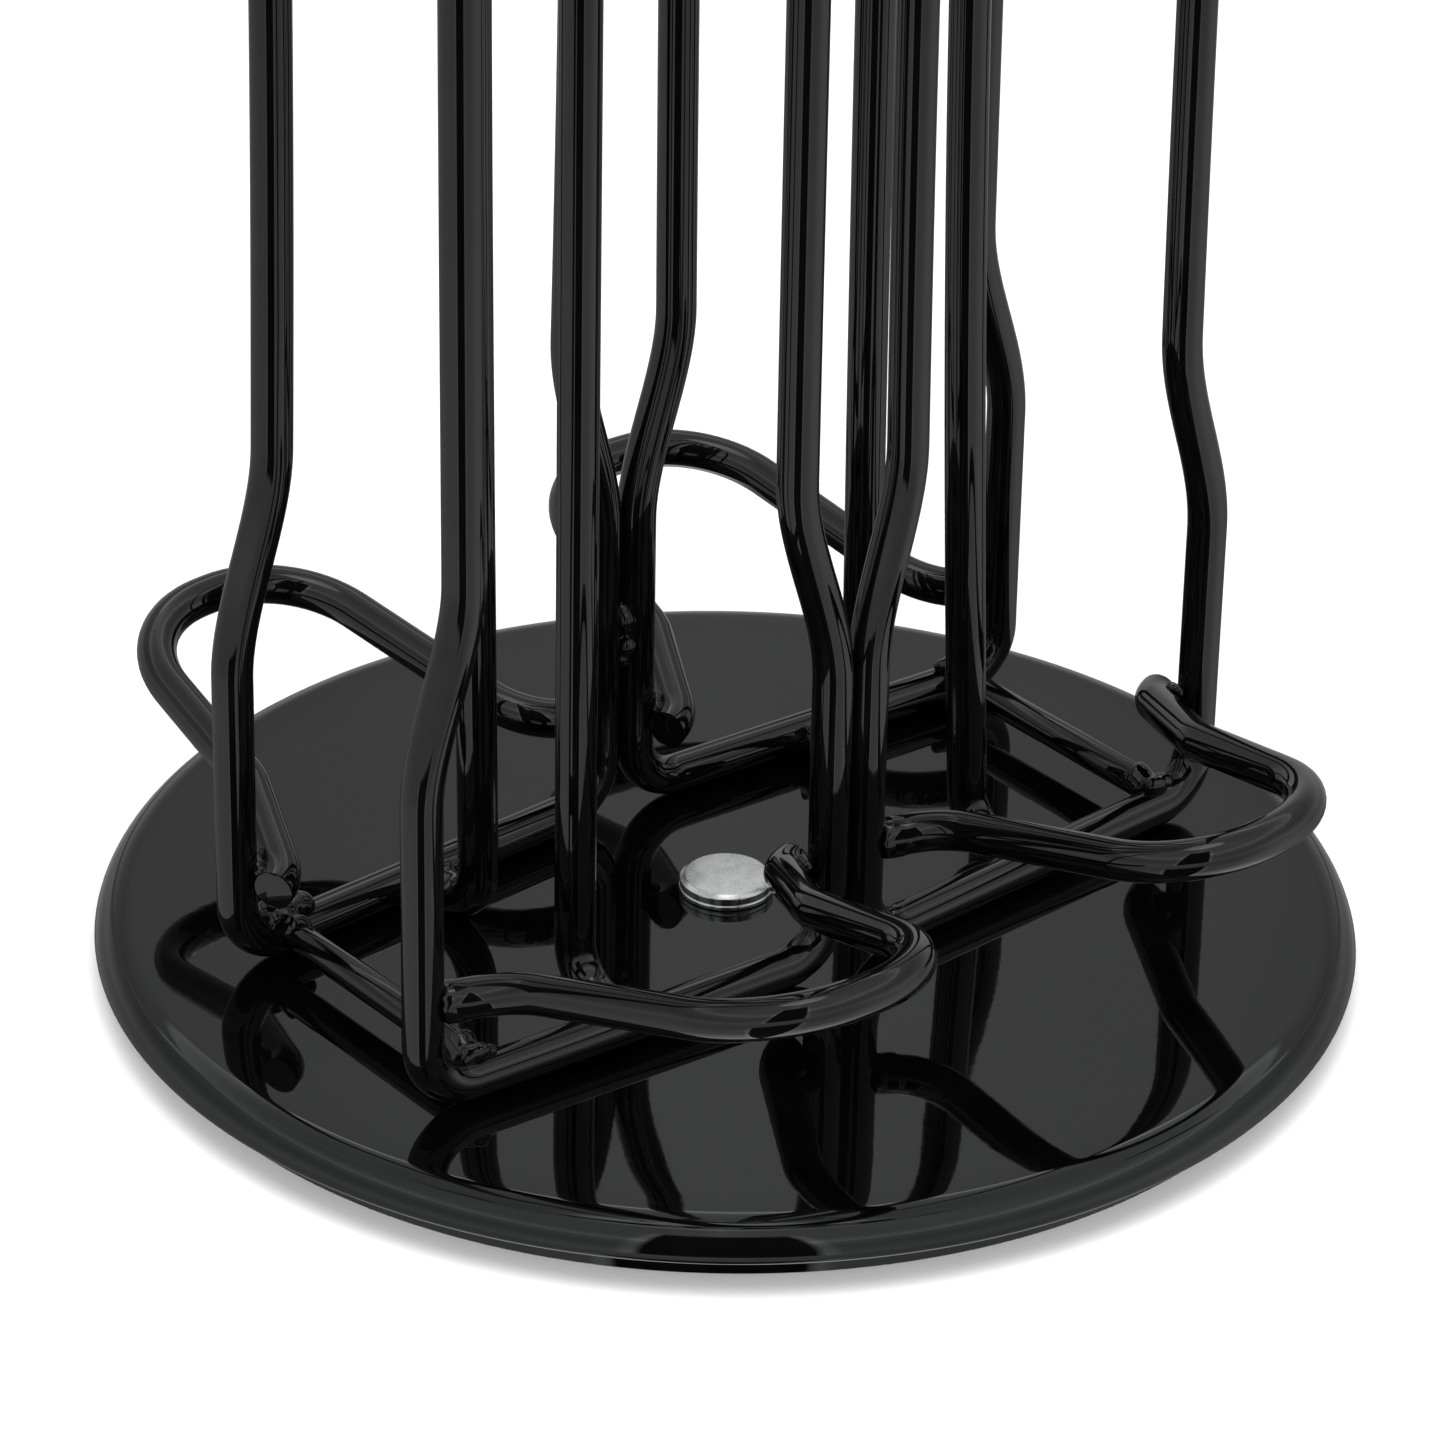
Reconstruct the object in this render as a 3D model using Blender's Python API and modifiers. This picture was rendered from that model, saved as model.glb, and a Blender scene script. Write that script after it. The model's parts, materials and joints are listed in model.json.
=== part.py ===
"""Revolving capsule rack: a welded wire rack of four lanes on a round turntable.

Metres, +Z up.  The origin is on the turning axis, on the surface that the rack stands on.
+X runs along the long side of the rack: two lanes face -Y and two lanes face +Y.
"""

import math

import bmesh
import bpy
from mathutils import Vector

OBJECT_NAME = "capsule_carousel"
GAP = 0.0003                    # left between pieces that touch

# Turntable: two pressed plates, held together by a rivet in the middle
TOP_PLATE_RADIUS = 0.0877
TOP_PLATE_Z = 0.0095            # flat face that carries the rack
TOP_EDGE_ROUND = 0.0055
BOTTOM_PLATE_RADIUS = 0.0832
BOTTOM_PLATE_Z = 0.0046
BOTTOM_EDGE_ROUND = 0.0025
SHEET = 0.0010
RIVET_SHANK_RADIUS = 0.0030
RIVET_HEAD_RADIUS = 0.00655
RIVET_HEAD_HEIGHT = 0.0020
RIVET_TAIL_RADIUS = 0.0048
WASHER_RADIUS = 0.0065
BUSH_WALL = 0.0009
BALL_RADIUS = 0.00165
BALL_CIRCLE_RADIUS = 0.040
BALL_COUNT = 8
CAGE_WIDTH = 0.008
CAGE_THICKNESS = 0.0011
FOOT_RADIUS = 0.006
FOOT_CIRCLE_RADIUS = 0.068
FOOT_COUNT = 4

# Wires of the rack
WIRE_RADIUS = 0.0028
CROSS_WIRE_RADIUS = 0.0022
RACK_HEIGHT = 0.3648            # top of the arches

# Lanes: each is a U of wire, open at the top, that is wider at both ends than in the middle
LANE_CENTRE_X = 0.0355
LANE_FRONT_Y = 0.02435
LANE_TURN = math.radians(3.44)  # each lane faces slightly away from its neighbour
LANE_HALF_WIDTH = 0.02585       # leg axis from the lane's middle, in the narrow stretch
KINK_STEP = 0.0066              # how far each leg steps out to the wide stretch
KINK_HEIGHT = 0.031
EXIT_HEIGHT = 0.0454            # wide stretch above the plate, where a capsule comes out
LOADING_HEIGHT = 0.030          # wide stretch below the joint with the top arch
BOTTOM_BEND = 0.0075
LEG_TOP_Z = 0.330
LANE_SET = {                    # how each lane was welded on: offset along the lane, bow of its legs
    "front_left": (-0.00085, -0.0003),
    "front_right": (-0.00105, -0.00175),
    "back_left": (-0.0012, -0.0021),
    "back_right": (-0.0010, 0.00075),
}

# Inner wires, behind the middle of each lane
INNER_Y = 0.0115
INNER_FOOT_BEND = 0.0065
INNER_SET = {                   # how a hand-bent wire sits: offset at its foot, bow halfway up
    "left": {"front": (0.0, 0.0), "back": (0.0013, -0.0013)},
    "right": {"front": (-0.0006, -0.0065), "back": (-0.0015, -0.0018)},
}
TOP_BEND = 0.014
TIE_OVERHANG = 0.0025

# Exit loop: a stirrup that slopes up away from the lane; x along the lane, out from its front
LOOP_OUTLINE = (
    # x, out, corner radius
    (-0.0292, 0.0015, 0),
    (-0.0221, 0.0056, 0.012),
    (-0.0140, 0.0492, 0.016),
    (0.0157, 0.0486, 0.0165),
    (0.0199, 0.0133, 0.011),
    (0.0282, -0.0049, 0.008),
    (0.0309, -0.0061, 0),
)
LOOP_SET = {                    # how each loop was welded on: lean along the lane, rise outward, height
    "front_left": (0.016, 0.299, 0.01665),
    "front_right": (-0.142, 0.253, 0.0183),
    "back_left": (-0.032, 0.219, 0.0161),
    "back_right": (0.022, 0.226, 0.0161),
}

DISC_STEPS = 64
SMALL_STEPS = 24
BEND_STEPS = 5

part_collection = bpy.data.collections.new(OBJECT_NAME)
cutter_collection = bpy.data.collections.new("cutters")


def clear_scene():
    for obj in list(bpy.data.objects):
        bpy.data.objects.remove(obj, do_unlink=True)
    bpy.context.scene.collection.children.link(part_collection)
    bpy.context.scene.collection.children.link(cutter_collection)


def make_material(name, colour, roughness, metallic):
    material = bpy.data.materials.new(name)
    material.use_nodes = True
    shader = material.node_tree.nodes["Principled BSDF"]
    shader.inputs["Base Color"].default_value = (*colour, 1)
    shader.inputs["Roughness"].default_value = roughness
    shader.inputs["Metallic"].default_value = metallic
    material.diffuse_color = (*colour, 1)
    return material


def black_coat(name):
    return make_material(name + "_coat", (0.012, 0.012, 0.013), 0.16, 0.0)


def zinc(name):
    return make_material(name + "_zinc", (0.72, 0.73, 0.74), 0.28, 1.0)


def bearing_steel(name):
    return make_material(name + "_steel", (0.62, 0.63, 0.65), 0.15, 1.0)


def soft_rubber(name):
    return make_material(name + "_rubber", (0.03, 0.03, 0.03), 0.85, 0.0)


def cage_plastic(name):
    return make_material(name + "_plastic", (0.82, 0.80, 0.74), 0.5, 0.0)


def add_object(name, data, material, parent):
    data.materials.append(material)
    obj = bpy.data.objects.new(name, data)
    part_collection.objects.link(obj)
    obj.parent = parent
    return obj


def add_pivot(name):
    pivot = bpy.data.objects.new(name, None)
    pivot.empty_display_size = 0.02
    part_collection.objects.link(pivot)
    return pivot


def smooth(mesh, angle=40):
    mesh.shade_smooth()
    mesh.set_sharp_from_angle(angle=math.radians(angle))


def turned(name, profile, material, parent, steps=SMALL_STEPS):
    """A closed outline of (radius, height) points, turned round the Z axis."""
    mesh = bpy.data.meshes.new(name)
    count = len(profile)
    points = [(radius, 0, z) for radius, z in profile]
    mesh.from_pydata(points, [(i, (i + 1) % count) for i in range(count)], [])
    obj = add_object(name, mesh, material, parent)
    screw = obj.modifiers.new("turn", "SCREW")
    screw.steps = steps
    screw.render_steps = steps
    screw.use_merge_vertices = True
    screw.merge_threshold = 0.00001
    bpy.context.view_layer.update()
    evaluated = obj.evaluated_get(bpy.context.evaluated_depsgraph_get())
    obj.data = bpy.data.meshes.new_from_object(evaluated)
    obj.modifiers.clear()
    smooth(obj.data)
    bpy.data.meshes.remove(mesh)
    return obj


def arc(centre, radius, start, end, steps=BEND_STEPS):
    """Points of an arc from angle start to angle end, in degrees, both ends included."""
    points = []
    for i in range(steps + 1):
        angle = math.radians(start + (end - start) * i / steps)
        points.append((centre[0] + radius * math.cos(angle), centre[1] + radius * math.sin(angle)))
    return points


def round_corners(outline, steps=BEND_STEPS):
    """Turns (x, y, corner radius) into points, with an arc in place of each corner."""
    points = [Vector(outline[0][:2])]
    for before, corner, after in zip(outline, outline[1:], outline[2:]):
        at = Vector(corner[:2])
        back = (Vector(before[:2]) - at).normalized()
        ahead = (Vector(after[:2]) - at).normalized()
        half = back.angle(ahead) / 2
        centre = at + (back + ahead).normalized() * corner[2] / math.sin(half)
        start = at + back * corner[2] / math.tan(half) - centre
        turn = start.angle_signed(at + ahead * corner[2] / math.tan(half) - centre)
        for i in range(steps + 1):
            angle = -turn * i / steps
            points.append(centre + Vector((
                start.x * math.cos(angle) - start.y * math.sin(angle),
                start.x * math.sin(angle) + start.y * math.cos(angle),
            )))
    points.append(Vector(outline[-1][:2]))
    return points


def wire(name, points, radius, parent):
    """A round wire along the points, with flat cut ends."""
    curve = bpy.data.curves.new(name, "CURVE")
    curve.dimensions = "3D"
    curve.bevel_depth = radius
    curve.bevel_resolution = 2
    curve.use_fill_caps = True
    spline = curve.splines.new("POLY")
    spline.points.add(len(points) - 1)
    for spline_point, place in zip(spline.points, points):
        spline_point.co = (*place, 1)
    spline.use_smooth = True
    return add_object(name, curve, black_coat(name), parent)


def pressed_plate(name, radius, top, skirt_z, edge_round, hole_radius, parent):
    """A flat sheet disc with a hole, whose rim is pressed down in a rounded edge."""
    centre = (radius - edge_round, top - edge_round)
    last = math.degrees(math.asin(min(max((skirt_z - centre[1]) / edge_round, 0), 1)))
    outer = arc(centre, edge_round, 90, last)
    inner = arc(centre, edge_round - SHEET, last, 90)
    if skirt_z < centre[1]:
        outer.append((radius, skirt_z))
        inner.insert(0, (radius - SHEET, skirt_z))
    profile = [(hole_radius, top)] + outer + inner + [(hole_radius, top - SHEET)]
    return turned(name, profile, black_coat(name), parent, DISC_STEPS)


def make_turntable(base, turntable):
    pressed_plate("bottom_plate", BOTTOM_PLATE_RADIUS, BOTTOM_PLATE_Z, 0.0006,
                  BOTTOM_EDGE_ROUND, RIVET_SHANK_RADIUS + GAP, base)
    bush_radius = RIVET_SHANK_RADIUS + GAP + BUSH_WALL
    pressed_plate("top_plate", TOP_PLATE_RADIUS, TOP_PLATE_Z, BOTTOM_PLATE_Z + 0.00016,
                  TOP_EDGE_ROUND, bush_radius + GAP, turntable)
    bush_foot = BOTTOM_PLATE_Z + GAP
    turned("pivot_bush", [
        (RIVET_SHANK_RADIUS + GAP, TOP_PLATE_Z), (bush_radius, TOP_PLATE_Z),
        (bush_radius, bush_foot), (RIVET_SHANK_RADIUS + GAP, bush_foot),
    ], zinc("pivot_bush"), base)
    washer_top = BOTTOM_PLATE_Z - SHEET - GAP
    washer_foot = washer_top - 0.0009
    turned("rivet_tail_washer", [
        (RIVET_SHANK_RADIUS + GAP, washer_top), (WASHER_RADIUS, washer_top),
        (WASHER_RADIUS, washer_foot), (RIVET_SHANK_RADIUS + GAP, washer_foot),
    ], zinc("rivet_tail_washer"), base)
    make_rivet(washer_foot - GAP, base)


def make_rivet(tail_top, base):
    head_foot = TOP_PLATE_Z + GAP
    head_top = head_foot + RIVET_HEAD_HEIGHT
    chamfer = 0.0007
    tail_foot = tail_top - 0.0011
    turned("centre_rivet", [
        (0, head_top), (RIVET_HEAD_RADIUS - chamfer, head_top),
        (RIVET_HEAD_RADIUS, head_top - chamfer), (RIVET_HEAD_RADIUS, head_foot),
        (RIVET_SHANK_RADIUS, head_foot), (RIVET_SHANK_RADIUS, tail_top),
        (RIVET_TAIL_RADIUS, tail_top), (RIVET_TAIL_RADIUS - chamfer, tail_foot), (0, tail_foot),
    ], zinc("centre_rivet"), base)


def make_feet(base):
    height = BOTTOM_PLATE_Z - SHEET - GAP
    for number in range(1, FOOT_COUNT + 1):
        angle = math.tau * (number - 0.5) / FOOT_COUNT
        name = f"foot_{number}"
        foot = turned(name, [
            (0, height), (FOOT_RADIUS, height), (FOOT_RADIUS, 0.0008),
            (FOOT_RADIUS - 0.0008, 0), (0, 0),
        ], soft_rubber(name), base)
        foot.location = (
            FOOT_CIRCLE_RADIUS * math.cos(angle), FOOT_CIRCLE_RADIUS * math.sin(angle), 0)


def ball_places():
    height = BOTTOM_PLATE_Z + GAP + BALL_RADIUS
    for number in range(1, BALL_COUNT + 1):
        angle = math.tau * number / BALL_COUNT
        yield number, Vector((
            BALL_CIRCLE_RADIUS * math.cos(angle), BALL_CIRCLE_RADIUS * math.sin(angle), height))


def ball_mesh(radius, steps, rings):
    mesh = bpy.data.meshes.new("ball")
    shape = bmesh.new()
    bmesh.ops.create_uvsphere(shape, u_segments=steps, v_segments=rings, radius=radius)
    shape.to_mesh(mesh)
    shape.free()
    mesh.shade_smooth()
    return mesh


def make_bearing(bearing):
    """A ring of balls between the plates, held apart by a flat cage."""
    middle = BOTTOM_PLATE_Z + GAP + BALL_RADIUS
    inner = BALL_CIRCLE_RADIUS - CAGE_WIDTH / 2
    outer = BALL_CIRCLE_RADIUS + CAGE_WIDTH / 2
    cage = turned("ball_cage", [
        (inner, middle + CAGE_THICKNESS / 2), (outer, middle + CAGE_THICKNESS / 2),
        (outer, middle - CAGE_THICKNESS / 2), (inner, middle - CAGE_THICKNESS / 2),
    ], cage_plastic("ball_cage"), bearing, DISC_STEPS)
    for number, place in ball_places():
        name = f"ball_{number}"
        ball = add_object(name, ball_mesh(BALL_RADIUS, 10, 6), bearing_steel(name), bearing)
        ball.location = place
        make_pocket(number, place, cage)


def make_pocket(number, place, cage):
    mesh = bpy.data.meshes.new(f"pocket_{number}")
    shape = bmesh.new()
    pocket_radius = BALL_RADIUS + GAP
    bmesh.ops.create_cone(shape, cap_ends=True, segments=12, radius1=pocket_radius,
                          radius2=pocket_radius, depth=CAGE_THICKNESS * 3)
    shape.to_mesh(mesh)
    shape.free()
    cutter = bpy.data.objects.new(f"pocket_{number}", mesh)
    cutter.location = place
    cutter.rotation_euler = (0, 0, math.radians(7 * number))
    cutter.hide_render = True
    cutter.display_type = "WIRE"
    cutter_collection.objects.link(cutter)
    cut = cage.modifiers.new(f"pocket_{number}", "BOOLEAN")
    cut.object = cutter
    cut.operation = "DIFFERENCE"


def ease(share):
    return share * share * (3 - 2 * share)


def leg_points():
    """One leg of a lane, from the bottom bend up: (distance from the lane's middle, height)."""
    wide = LANE_HALF_WIDTH + KINK_STEP
    low = TOP_PLATE_Z + EXIT_HEIGHT
    high = LEG_TOP_Z - LOADING_HEIGHT - KINK_HEIGHT
    steps = 6
    points = []
    for i in range(steps + 1):
        points.append((wide - KINK_STEP * ease(i / steps), low + KINK_HEIGHT * i / steps))
    straight = high - low - KINK_HEIGHT
    for i in range(1, steps):
        points.append((LANE_HALF_WIDTH, low + KINK_HEIGHT + straight * i / steps))
    for i in range(steps + 1):
        points.append((LANE_HALF_WIDTH + KINK_STEP * ease(i / steps), high + KINK_HEIGHT * i / steps))
    points.append((wide, LEG_TOP_Z - GAP / 2))
    return points


def lane_places():
    """Name, middle of the lane's front and the way it is turned; at 0 a lane faces -Y."""
    for side_y, face in ((-1, "front"), (1, "back")):
        for side_x, hand in ((-1, "left"), (1, "right")):
            name = f"{face}_{hand}"
            turn = (0 if side_y < 0 else math.pi) - side_x * side_y * LANE_TURN
            along = Vector((math.cos(turn), math.sin(turn), 0))
            middle = Vector((side_x * LANE_CENTRE_X, side_y * LANE_FRONT_Y, 0))
            yield name, middle + LANE_SET[name][0] * along, turn


def make_lane_frame(name, place, turn, parent):
    leg = leg_points()
    run_z = TOP_PLATE_Z + GAP + WIRE_RADIUS
    wide = LANE_HALF_WIDTH + KINK_STEP
    bend = arc((wide - BOTTOM_BEND, run_z + BOTTOM_BEND), BOTTOM_BEND, -90, 0)
    low, high = TOP_PLATE_Z + EXIT_HEIGHT, LEG_TOP_Z - LOADING_HEIGHT
    points = []
    for side, outline in ((-1, reversed(bend + leg)), (1, bend + leg)):
        for x, z in outline:
            share = min(max((z - low) / (high - low), 0), 1)
            points.append((side * x + LANE_SET[name][1] * math.sin(math.pi * share), 0, z))
    frame = wire("lane_frame_" + name, points, WIRE_RADIUS, parent)
    frame.location = place
    frame.rotation_euler = (0, 0, turn)


def make_exit_loop(name, place, turn, parent):
    outline = round_corners(LOOP_OUTLINE)
    lean, rise, height = LOOP_SET[name]
    level = TOP_PLATE_Z + height
    start = outline[0].y
    points = [(x + lean * max(out - start, 0), -out, level + rise * out) for x, out in outline]
    loop = wire("exit_loop_" + name, points, WIRE_RADIUS, parent)
    loop.location = place
    loop.rotation_euler = (0, 0, turn)


def arch_over(half_span, foot_z, top_z, bend):
    """An inverted U in the YZ plane: (y, z) from the foot at -Y over to the foot at +Y."""
    right = arc((half_span - bend, top_z - bend), bend, 90, 0) + [(half_span, foot_z)]
    return [(-y, z) for y, z in reversed(right)] + right


def leg_tops():
    """Where each leg's axis ends at the top, by lane name and side: -1 is the lane's left leg."""
    wide = LANE_HALF_WIDTH + KINK_STEP
    return {
        (name, side): place + side * wide * Vector((math.cos(turn), math.sin(turn), 0))
        for name, place, turn in lane_places() for side in (-1, 1)
    }


def make_top_arches(parent):
    """Each arch carries a front leg over to the back leg behind it."""
    tops = leg_tops()
    top_z = RACK_HEIGHT - WIRE_RADIUS
    for side_x, hand in ((-1, "left"), (1, "right")):
        for side, where in ((1, "outer"), (-1, "inner")):
            front = tops["front_" + hand, side_x * side]
            back = tops["back_" + hand, -side_x * side]
            across = (back - front) / 2
            points = arch_over(across.length, LEG_TOP_Z + GAP / 2, top_z, TOP_BEND)
            arch = wire(f"top_arch_{hand}_{where}", [(0, y, z) for y, z in points], WIRE_RADIUS, parent)
            arch.location = (front + back) / 2
            arch.rotation_euler = (0, 0, math.atan2(-across.x, across.y))


def make_inner_frames(parent):
    """One wire serves the lane in front and the lane behind; its feet turn out to the lane frames."""
    top_z = RACK_HEIGHT - 5 * WIRE_RADIUS - 2 * GAP
    run_z = TOP_PLATE_Z + GAP + WIRE_RADIUS
    foot_end = LANE_FRONT_Y - WIRE_RADIUS - GAP
    foot = arc((INNER_Y + INNER_FOOT_BEND, run_z + INNER_FOOT_BEND), INNER_FOOT_BEND, 180, 270)
    over = arc((0, top_z - INNER_Y), INNER_Y, 90, 0)
    steps = 7
    low, high = foot[0][1], over[-1][1]
    upright = [(INNER_Y, high + (low - high) * i / steps) for i in range(1, steps)]
    back = over + upright + foot + [(foot_end, run_z)]
    front = [(-y, z) for y, z in reversed(back)]
    for side_x, hand in ((-1, "left"), (1, "right")):
        points = [(sway(hand, y, z / top_z), y, z) for y, z in front[:-1] + back]
        frame = wire("inner_frame_" + hand, points, WIRE_RADIUS, parent)
        frame.location = (side_x * LANE_CENTRE_X, 0, 0)


def sway(hand, y, share):
    """How far an inner wire stands off the lane's middle, at a share of its height."""
    across = min(max((y / INNER_Y + 1) / 2, 0), 1)
    front, back = INNER_SET[hand]["front"], INNER_SET[hand]["back"]
    offset = front[0] + (back[0] - front[0]) * across
    bow = front[1] + (back[1] - front[1]) * across
    return offset + bow * math.sin(math.pi * share)


def make_straight_wires(parent):
    cross_z = TOP_PLATE_Z + 0.0051
    half = LANE_FRONT_Y - WIRE_RADIUS - 0.0019
    for side_x, hand in ((-1, "left"), (1, "right")):
        cross = wire("base_cross_wire_" + hand, [(0, -half, cross_z), (0, half, cross_z)],
                     CROSS_WIRE_RADIUS, parent)
        cross.location = (side_x * (LANE_CENTRE_X + 0.0245), 0, 0)
    reach = LANE_CENTRE_X + LANE_HALF_WIDTH + KINK_STEP + TIE_OVERHANG
    tie_z = RACK_HEIGHT - 3 * WIRE_RADIUS - GAP
    wire("top_tie_wire", [(-reach, 0, tie_z), (reach, 0, tie_z)], WIRE_RADIUS, parent)


def main():
    clear_scene()
    base = add_pivot("base")
    turntable = add_pivot("turntable_axis")
    bearing = add_pivot("bearing_axis")
    turntable.parent = base
    bearing.parent = base
    make_turntable(base, turntable)
    make_feet(base)
    make_bearing(bearing)
    for name, place, turn in lane_places():
        make_lane_frame(name, place, turn, turntable)
        make_exit_loop(name, place, turn, turntable)
    make_top_arches(turntable)
    make_inner_frames(turntable)
    make_straight_wires(turntable)


main()
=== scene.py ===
"""Looks of the revolving capsule rack: gloss black wire on a pressed steel turntable.

Metres, +Z up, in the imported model's own frame.  Every piece is made here at the place that the
frame gives, rides on its body and stands for the CAD node of the same shape.
"""

import json
import math
import random

import bmesh
import bpy
from mathutils import Matrix, Vector, kdtree, noise

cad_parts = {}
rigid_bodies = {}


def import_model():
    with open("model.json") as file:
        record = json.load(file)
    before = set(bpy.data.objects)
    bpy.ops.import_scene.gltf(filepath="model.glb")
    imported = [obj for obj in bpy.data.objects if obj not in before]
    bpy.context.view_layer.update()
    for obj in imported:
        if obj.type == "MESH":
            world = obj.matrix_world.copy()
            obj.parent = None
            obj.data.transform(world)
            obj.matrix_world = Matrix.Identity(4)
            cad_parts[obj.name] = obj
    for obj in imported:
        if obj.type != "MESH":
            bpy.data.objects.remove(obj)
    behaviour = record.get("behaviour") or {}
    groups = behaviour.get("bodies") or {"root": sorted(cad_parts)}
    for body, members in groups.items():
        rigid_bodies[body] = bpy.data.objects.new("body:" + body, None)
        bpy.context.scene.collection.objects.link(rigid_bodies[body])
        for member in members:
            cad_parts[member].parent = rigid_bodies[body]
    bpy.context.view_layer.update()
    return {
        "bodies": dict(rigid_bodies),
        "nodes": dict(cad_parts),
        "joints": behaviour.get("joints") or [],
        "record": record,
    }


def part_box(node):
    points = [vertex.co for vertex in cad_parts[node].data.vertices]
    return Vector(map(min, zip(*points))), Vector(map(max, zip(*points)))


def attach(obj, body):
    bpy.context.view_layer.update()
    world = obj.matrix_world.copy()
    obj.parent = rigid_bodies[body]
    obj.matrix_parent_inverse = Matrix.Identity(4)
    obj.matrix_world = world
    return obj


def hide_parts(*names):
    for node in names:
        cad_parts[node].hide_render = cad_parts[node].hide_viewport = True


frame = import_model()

# Read from the frame
PLATE_LOW, PLATE_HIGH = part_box("top_plate")
PLATE_TOP = PLATE_HIGH.z
LOWER_LOW, LOWER_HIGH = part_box("bottom_plate")
RACK_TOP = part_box("top_arch_left_outer")[1].z
LEG_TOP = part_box("lane_frame_front_left")[1].z
TIE_LOW, TIE_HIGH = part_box("top_tie_wire")
CROSS_LOW, CROSS_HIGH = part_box("base_cross_wire_left")
WIRE_RADIUS = (TIE_HIGH.z - TIE_LOW.z) / 2
CROSS_RADIUS = (CROSS_HIGH.x - CROSS_LOW.x) / 2

# Sizes of the turntable that the frame does not give
SHEET = 0.0010
PLATE_RADIUS = 0.0877
PLATE_ROUND = 0.0055            # outer radius of the bend at its rim
PLATE_HOLE = 0.0045
PLATE_FALL = 0.00010            # how far the top plate sinks towards its rim
PLATE_FALL_WIDTH = 0.010        # over what width it sinks
LOWER_RADIUS = 0.0832
LOWER_ROUND = 0.0025
RIVET_SHANK = 0.0030
SHANK_HOLE = 0.0033             # in the base plate, the bush and the washer
BALL_COUNT = 8
CAGE_WIDTH = 0.008

# Sizes of the rack that the frame does not give
GAP = 0.0003                    # left between wires in the CAD, and closed by the welds here
RUN_Z = PLATE_TOP + GAP + WIRE_RADIUS
LANE_CENTRE_X = 0.0355
LANE_FRONT_Y = 0.02435
LANE_TURN = math.radians(3.44)
LANE_HALF_WIDTH = 0.02585
KINK_STEP = 0.0066
KINK_HEIGHT = 0.031
EXIT_HEIGHT = 0.0454
LOADING_HEIGHT = 0.030
BOTTOM_BEND = 0.0075
INNER_Y = 0.0115
INNER_FOOT_BEND = 0.0065
TOP_BEND = 0.014
WIDE = LANE_HALF_WIDTH + KINK_STEP

LANE_SET = {                    # how each lane was welded on: offset sideways, bow of its legs
    "front_left": (-0.00085, -0.0003),
    "front_right": (-0.00105, -0.00175),
    "back_left": (-0.0012, -0.0021),
    "back_right": (-0.0010, 0.00075),
}
INNER_SET = {                   # offset and bow of both uprights of each inner frame
    "left": {"front": (0.0, 0.0), "back": (0.0013, -0.0013)},
    "right": {"front": (-0.0006, -0.0065), "back": (-0.0015, -0.0018)},
}
LOOP_OUTLINE = (
    # x along the lane, out from its front, corner radius
    (-0.0292, 0.0015, 0),
    (-0.0221, 0.0056, 0.012),
    (-0.0140, 0.0492, 0.016),
    (0.0157, 0.0486, 0.0165),
    (0.0199, 0.0133, 0.011),
    (0.0282, -0.0049, 0.008),
    (0.0309, -0.0061, 0),
)
LOOP_SET = {                    # lean along the lane, rise outward, height above the plate
    "front_left": (0.016, 0.299, 0.01665),
    "front_right": (-0.142, 0.253, 0.0183),
    "back_left": (-0.032, 0.219, 0.0161),
    "back_right": (0.022, 0.226, 0.0161),
}

# How finely curves are divided
DISC_STEPS = 256
SMALL_STEPS = 72
FALL_STEPS = 24
FILLET_STEPS = 5
CAGE_STEPS = 16 * BALL_COUNT
WIRE_SIDES = 28
BEND_STEPS = 16
LEG_STEPS = 24
UPRIGHT_STEPS = 40
COLLAR_SIDES = 32
COLLAR_STEPS = 12
WELD_VOXEL = 0.0002
WIRE_EDGE = 0.0003              # rounding of a wire's cut end


# --- materials -------------------------------------------------------------------------------

def new_material(name):
    """A material, its nodes and links, and its shader node."""
    material = bpy.data.materials.new(name)
    material.use_nodes = True
    nodes = material.node_tree.nodes
    return material, nodes, material.node_tree.links, nodes["Principled BSDF"]


def noise_node(nodes, links, scale, detail=2.0, roughness=0.5):
    """A noise fixed to the piece; a scale of 1000 gives blotches of about a millimetre."""
    place = nodes.new("ShaderNodeTexCoord")
    texture = nodes.new("ShaderNodeTexNoise")
    texture.inputs["Scale"].default_value = scale
    texture.inputs["Detail"].default_value = detail
    texture.inputs["Roughness"].default_value = roughness
    links.new(place.outputs["Object"], texture.inputs["Vector"])
    return texture


def ramp_node(nodes, links, source, stops):
    """Colour stops (position, colour) between which the source value is blended."""
    ramp = nodes.new("ShaderNodeValToRGB")
    elements = ramp.color_ramp.elements
    while len(elements) < len(stops):
        elements.new(0.5)
    for element, (position, colour) in zip(elements, stops):
        element.position = position
        element.color = (*colour, 1)
    links.new(source, ramp.inputs["Fac"])
    return ramp


def range_node(nodes, links, source, low, high):
    """Spreads the middle of a noise over a range of values."""
    spread = nodes.new("ShaderNodeMapRange")
    spread.inputs["From Min"].default_value = 0.3
    spread.inputs["From Max"].default_value = 0.7
    spread.inputs["To Min"].default_value = low
    spread.inputs["To Max"].default_value = high
    links.new(source, spread.inputs["Value"])
    return spread


def bump_node(nodes, links, source, strength, distance, normal=None):
    """A bump of that height, on top of another one if its normal is given."""
    bump = nodes.new("ShaderNodeBump")
    bump.inputs["Strength"].default_value = strength
    bump.inputs["Distance"].default_value = distance
    links.new(source, bump.inputs["Height"])
    if normal is not None:
        links.new(normal, bump.inputs["Normal"])
    return bump


def colour_by(nodes, links, shader, tone, dark, light, stops=(0.3, 0.7)):
    """Lets the base colour follow a noise between two tones."""
    ramp = ramp_node(nodes, links, tone.outputs["Fac"], [(stops[0], dark), (stops[1], light)])
    links.new(ramp.outputs["Color"], shader.inputs["Base Color"])


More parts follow.
